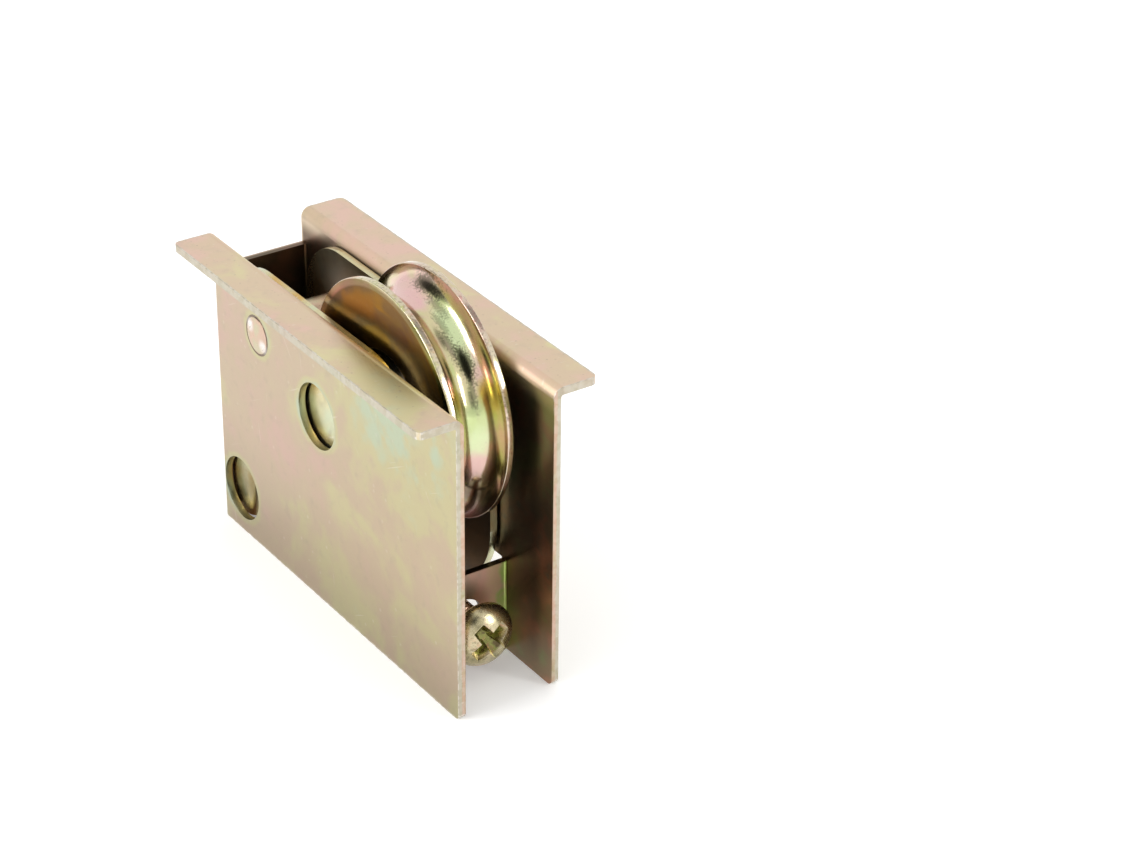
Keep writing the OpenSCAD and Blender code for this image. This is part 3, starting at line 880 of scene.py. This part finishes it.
def pivot_rivet(material):
    columns, rings = 144, 34
    points = []
    for end in (-1, 1):
        steps = range(1, rings + 1) if end < 0 else range(rings, 0, -1)
        for step in steps:
            radius = RIVET_R * step / rings
            for angle in turns(columns):
                y = end * (PLATE_FACE + staked_height(radius, angle))
                points.append((radius * math.cos(angle), y, radius * math.sin(angle)))
    rows = 2 * rings
    faces = grid_faces(rows, columns)
    for end, first in ((-1, 0), (1, (rows - 1) * columns)):
        points.append((0, end * (PLATE_FACE + staked_height(0, 0)), 0))
        hub = len(points) - 1
        for column in range(columns):
            pair = (first + column, first + (column + 1) % columns)
            faces.append((hub, *pair) if end > 0 else (hub, *reversed(pair)))
    mesh = mesh_from("staked_pivot_rivet", points, faces, (PIVOT.x, 0, PIVOT.z))
    piece = new_object("staked_pivot_rivet", mesh, material, "frame")
    make_normals_point_out(piece)
    shade_by_angle(piece, 40)
    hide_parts("pivot_rivet")


def thread_radius(height, angle):
    """Radius of a 60 degree thread with small flats, at a height and angle."""
    phase = (height / PITCH - angle / (2 * math.pi)) % 1.0
    slope = min(1.0, max(0.0, (abs(phase - 0.5) - 0.06) / 0.38))
    return THREAD_R - THREAD_DEPTH * slope


def threaded_shank():
    columns = 36
    steps_per_turn = 10
    plain_length = 0.5
    taper_length = 1.2
    taper_depth = 0.7
    length = HEAD_X - SCREW_LOW.x / MM
    rows = int(length / PITCH * steps_per_turn) + 1
    points = []
    for row in range(rows):
        height = length * row / (rows - 1)
        taper = max(0.0, 1.0 - (length - height) / taper_length)
        for angle in turns(columns):
            radius = min(thread_radius(-height, angle), THREAD_R - taper_depth * taper)
            if height < plain_length:
                radius = THREAD_R - THREAD_DEPTH * 0.6
            points.append((-height, radius * math.cos(angle), radius * math.sin(angle)))
    faces = grid_faces(rows, columns)
    faces.append(tuple(range(columns)))
    faces.append(tuple(reversed(range((rows - 1) * columns, rows * columns))))
    return points, faces


def head_profile():
    """Pan head as [radius, height] pairs, from its underside to the middle of its dome."""
    edge_steps = 6
    dome_steps = 26
    corner_r = HEAD_R - HEAD_EDGE_ROUND
    profile = [(0.5, 0.0), (THREAD_R, 0.0), (corner_r, 0.0)]
    for step in range(1, edge_steps + 1):
        turn = math.pi / 2 * step / edge_steps
        radius = corner_r + HEAD_EDGE_ROUND * math.sin(turn)
        profile.append((radius, HEAD_EDGE_ROUND - HEAD_EDGE_ROUND * math.cos(turn)))
    profile.append((HEAD_R, HEAD_EDGE_H))
    for step in range(1, dome_steps):
        turn = math.pi / 2 * step / dome_steps
        rise = (HEAD_H - HEAD_EDGE_H) * math.sin(turn) ** 1.25
        profile.append((HEAD_R * math.cos(turn) ** 0.80, HEAD_EDGE_H + rise))
    return profile


def lathed_head():
    """Points and faces of the head, turned about +X and closed at its ends."""
    columns = 120
    profile = head_profile()
    points = []
    for radius, height in profile:
        for angle in turns(columns):
            points.append((height, radius * math.cos(angle), radius * math.sin(angle)))
    faces = grid_faces(len(profile), columns)
    faces.append(tuple(range(columns)))
    points.append((HEAD_H, 0, 0))
    last = (len(profile) - 1) * columns
    for column in range(columns):
        faces.append((last + column, last + (column + 1) % columns, len(points) - 1))
    return points, faces


def recess_cutter():
    """A cross with tapered arms, the shape that a screwdriver's tip fits."""
    mesh = bmesh.new()
    for arm in range(2):
        turn = Matrix.Rotation(RECESS_TURN + arm * math.pi / 2, 3, "X")
        rings = []
        for height, span, width in RECESS_RINGS:
            corners = [(-span, -width), (span, -width), (span, width), (-span, width)]
            rings.append([mesh.verts.new(turn @ Vector((height, a, b))) for a, b in corners])
        for low, high in zip(rings[1:], rings):
            for side in range(4):
                after = (side + 1) % 4
                mesh.faces.new((low[side], low[after], high[after], high[side]))
        mesh.faces.new(rings[0])
        mesh.faces.new(list(reversed(rings[-1])))
    bmesh.ops.recalc_face_normals(mesh, faces=mesh.faces)
    bmesh.ops.scale(mesh, vec=(MM, MM, MM), verts=mesh.verts)
    cutter = bpy.data.meshes.new("recess_cutter")
    mesh.to_mesh(cutter)
    mesh.free()
    return cutter


def recessed_head():
    """The head's mesh with the cross recess cut into it and the crisp edges rounded."""
    head = bpy.data.objects.new("screw_head", mesh_from("screw_head", *lathed_head()))
    bpy.context.collection.objects.link(head)
    make_normals_point_out(head)
    cutter = bpy.data.objects.new("recess_cutter", recess_cutter())
    bpy.context.collection.objects.link(cutter)
    cut = head.modifiers.new("recess", "BOOLEAN")
    cut.operation = "DIFFERENCE"
    cut.solver = "EXACT"
    cut.use_self = True
    cut.object = cutter
    soft = head.modifiers.new("soft", "BEVEL")
    soft.width = RECESS_EDGE_ROUND * MM
    soft.segments = 2
    soft.limit_method = "ANGLE"
    soft.angle_limit = math.radians(35)
    bpy.context.view_layer.update()
    evaluated = head.evaluated_get(bpy.context.evaluated_depsgraph_get())
    shaped = bpy.data.meshes.new_from_object(evaluated)
    bpy.data.objects.remove(head)
    bpy.data.objects.remove(cutter)
    return shaped


def adjusting_screw(material):
    whole = bmesh.new()
    for part in (recessed_head(), mesh_from("shank", *threaded_shank())):
        whole.from_mesh(part)
        bpy.data.meshes.remove(part)
    place = Vector((HEAD_X * MM, 0, SCREW_AXIS.z))
    bmesh.ops.translate(whole, vec=place, verts=whole.verts)
    bmesh.ops.recalc_face_normals(whole, faces=whole.faces)
    mesh = bpy.data.meshes.new("threaded_adjusting_screw")
    whole.to_mesh(mesh)
    whole.free()
    piece = new_object("threaded_adjusting_screw", mesh, material, "screw")
    shade_by_angle(piece, 32)
    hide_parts("adjusting_screw")


def arc(centre, radius, start, end, steps):
    """Points on an arc as [radius from the axle, y], angles in degrees from the radius axis."""
    points = []
    for step in range(steps + 1):
        turn = math.radians(start + (end - start) * step / steps)
        points.append((centre[0] + radius * math.cos(turn), centre[1] + radius * math.sin(turn)))
    return points


def dished_side():
    """The side face as [radius, y] pairs: a fine step at the rim, then the shallow dish."""
    steps = 12
    start_r = DISH_R - DISH_RIM_W
    side = [(DISH_R, RIM_HALF_W)]
    for step in range(steps + 1):
        radius = start_r + (DISH_END_R - start_r) * step / steps
        side.append((radius, RIM_HALF_W - DISH_STEP - (DISH - DISH_STEP) * step / steps))
    return side


def wheel_half_profile():
    """Outline of one half from the joint in the groove, over the rim, to the bearing's seat."""
    groove_centre = RIM_R + GROOVE_R - GROOVE_DEPTH
    mouth_angle = math.degrees(math.acos((groove_centre - RIM_R + EDGE_ROUND) / GROOVE_R))
    outline = arc((groove_centre, 0), GROOVE_R, 180, 180 - mouth_angle, 56)
    land = outline[-1][1] + EDGE_ROUND
    outline += arc((RIM_R - EDGE_ROUND, land), EDGE_ROUND, -60, 0, 4)
    outline += arc((RIM_R - EDGE_ROUND, RIM_HALF_W - EDGE_ROUND), EDGE_ROUND, 0, 90, 6)
    outline += dished_side()
    mouth = (HUB_MOUTH_R + MOUTH_ROUND, RIM_HALF_W - DISH - MOUTH_ROUND)
    outline += arc(mouth, MOUTH_ROUND, 90, 180, 8)
    outline += [
        (HUB_MOUTH_R, LIP_Y), (LIP_R, LIP_Y),
        (LIP_R, RING_HALF_W), (SEAT_R, RING_HALF_W), (SEAT_R, 0),
    ]
    return outline


def wheel_half(side, material):
    """side is -1 for the near half and 1 for the far half."""
    node = "wheel_half_near" if side < 0 else "wheel_half_far"
    columns = 288
    profile = wheel_half_profile()
    points = []
    for radius, y in profile:
        for angle in turns(columns):
            points.append((radius * math.cos(angle), side * y, radius * math.sin(angle)))
    faces = grid_faces(len(profile), columns)
    last = (len(profile) - 1) * columns
    for column in range(columns):
        after = (column + 1) % columns
        faces.append((last + column, last + after, after, column))
    name = "turned_" + node
    mesh = mesh_from(name, points, faces, (AXLE.x, 0, AXLE.z))
    piece = new_object(name, mesh, material, "wheel")
    make_normals_point_out(piece)
    shade_by_angle(piece, 35)
    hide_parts(node)


def paint(node, material):
    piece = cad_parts[node]
    piece.data.materials.clear()
    piece.data.materials.append(material)


def dress_the_roller():
    wheel = wheel_material()
    rivet = rivet_material()
    screw = screw_material()
    ring = steel_material("ground_ring")
    shield = steel_material("pressed_shield")
    strip = steel_material("cage_strip")
    ball = steel_material("polished_ball")
    looks = {
        "housing": sheet_material(), "carrier": carrier_material(),
        "wheel_axle": rivet, "screw_nut": screw,
        "axle_spacer_near": ring, "axle_spacer_far": ring,
        "bearing_outer_ring": ring, "bearing_inner_ring": ring,
        "bearing_shield_near": shield, "bearing_shield_far": shield,
        "ball_cage_near": strip, "ball_cage_far": strip,
    }
    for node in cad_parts:
        if node.startswith("ball_") and node not in looks:
            looks[node] = ball
    for node, material in looks.items():
        paint(node, material)
    soften_edges("housing")
    soften_edges("carrier")
    for side in (-1, 1):
        wheel_half(side, wheel)
    pivot_rivet(rivet)
    adjusting_screw(screw)


bpy.context.scene.view_settings.view_transform = "Standard"
add_camera()
add_world()
add_softboxes()
add_floor()
dress_the_roller()
